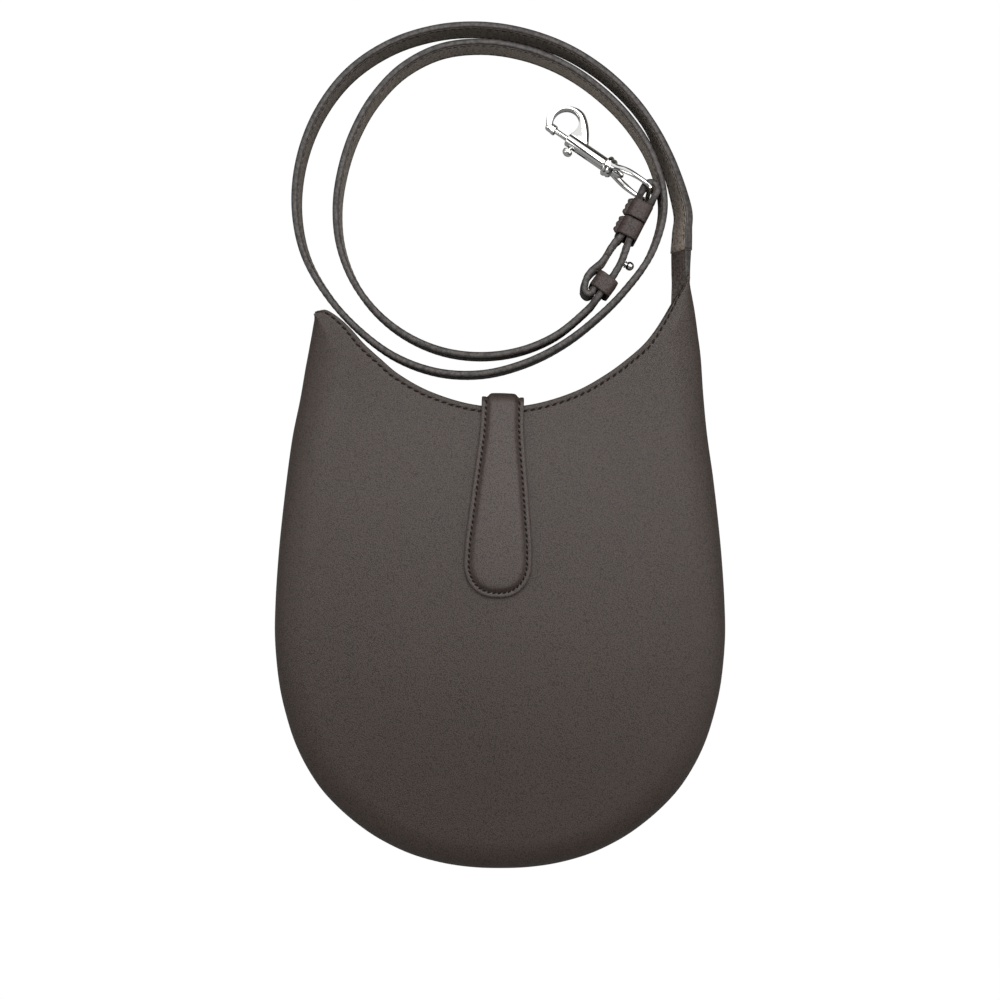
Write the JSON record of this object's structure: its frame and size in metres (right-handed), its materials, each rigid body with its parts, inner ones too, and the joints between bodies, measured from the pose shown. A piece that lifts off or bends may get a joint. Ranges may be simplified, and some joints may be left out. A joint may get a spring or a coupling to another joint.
{
  "type": "leather sling bag",
  "caption": "Flat teardrop leather sling bag with a curved mouth, a raised fold-over closure tab and a long narrow strap that ends in a swivel bolt snap.",
  "frame": {"origin": "middle of the underside of the bag, which lies on its back; the strap isn't counted", "axes": "+X across the bag, +Y towards its mouth, +Z out of its front"},
  "size_m": [0.2035, 0.3805, 0.0286],
  "materials": {
    "front_panel": "grained charcoal-brown leather",
    "back_panel": "grained charcoal-brown leather",
    "front_lining": "thin suede lining",
    "back_lining": "thin suede lining",
    "front_rim_facing": "grained leather facing",
    "back_rim_facing": "grained leather facing",
    "closure_root": "smooth warm grey-brown leather",
    "closure_flap": "smooth warm grey-brown leather",
    "closure_backing": "smooth warm grey-brown leather",
    "closure_filler": "pressed leather board",
    "closure_magnet": "plated disc magnet",
    "magnet_plate": "plain steel disc",
    "ring_loop": "strap leather",
    "d_ring": "polished nickel",
    "strap_root": "strap leather, painted edges",
    "strap": "strap leather, painted edges",
    "strap_end_loop": "strap leather, painted edges",
    "strap_tail": "strap leather, painted edges",
    "keeper_upper": "strap leather",
    "keeper_lower": "strap leather",
    "keeper_slide": "strap leather",
    "stud_head": "polished nickel",
    "stud_base": "polished nickel",
    "swivel_eye": "polished nickel",
    "swivel_rivet": "polished nickel",
    "snap_body": "polished nickel",
    "snap_bolt": "polished nickel",
    "snap_thumb_knob": "polished nickel",
    "snap_spring": "spring steel"
  },
  "bodies": {
    "bag": {"front_panel": "front_panel", "back_panel": "back_panel", "front_lining": "front_lining", "back_lining": "back_lining", "front_rim_facing": "front_rim_facing", "back_rim_facing": "back_rim_facing", "magnet_plate": "magnet_plate", "closure_root": "closure_root", "ring_loop": "ring_loop", "strap_root": "strap_root", "strap": "strap", "strap_end_loop": "strap_end_loop", "strap_tail": "strap_tail", "keeper_upper": "keeper_upper", "keeper_lower": "keeper_lower", "keeper_slide": "keeper_slide", "stud_head": "stud_head", "stud_base": "stud_base"},
    "tab": {"closure_flap": "closure_flap", "closure_backing": "closure_backing", "closure_filler": "closure_filler", "closure_magnet": "closure_magnet"},
    "ring": {"d_ring": "d_ring"},
    "eye": {"swivel_eye": "swivel_eye"},
    "snap": {"snap_body": "snap_body", "swivel_rivet": "swivel_rivet", "snap_spring": "snap_spring"},
    "bolt": {"snap_bolt": "snap_bolt", "snap_thumb_knob": "snap_thumb_knob"}
  },
  "joints": [
    {"name": "closure_hinge", "type": "hinge", "parent": "bag", "child": "tab", "pos_m": [0.00133, 0.07217, 0.01144], "axis": [-0.9995, 0.0307, 0], "range_deg": [0, 110]},
    {"name": "ring_swing", "type": "hinge", "parent": "bag", "child": "ring", "pos_m": [-0.072, 0.08, 0.0055], "axis": [1, 0, 0], "range_deg": [-5, 10]},
    {"name": "eye_swing", "type": "hinge", "parent": "bag", "child": "eye", "pos_m": [0.0668, 0.1643, 0.0096], "axis": [-0.0693, 0.1166, 0.9908], "range_deg": [-5, 20]},
    {"name": "snap_swivel", "type": "hinge", "parent": "eye", "child": "snap", "pos_m": [0.0668, 0.1643, 0.0096], "axis": [-0.7965, 0.5915, -0.1253], "continuous": true},
    {"name": "bolt_slide", "type": "slide", "parent": "snap", "child": "bolt", "axis": [0.7965, -0.5915, 0.1253], "range_m": [0, 0.008], "stiffness_N_per_m": 400, "springref_m": -0.004}
  ]
}
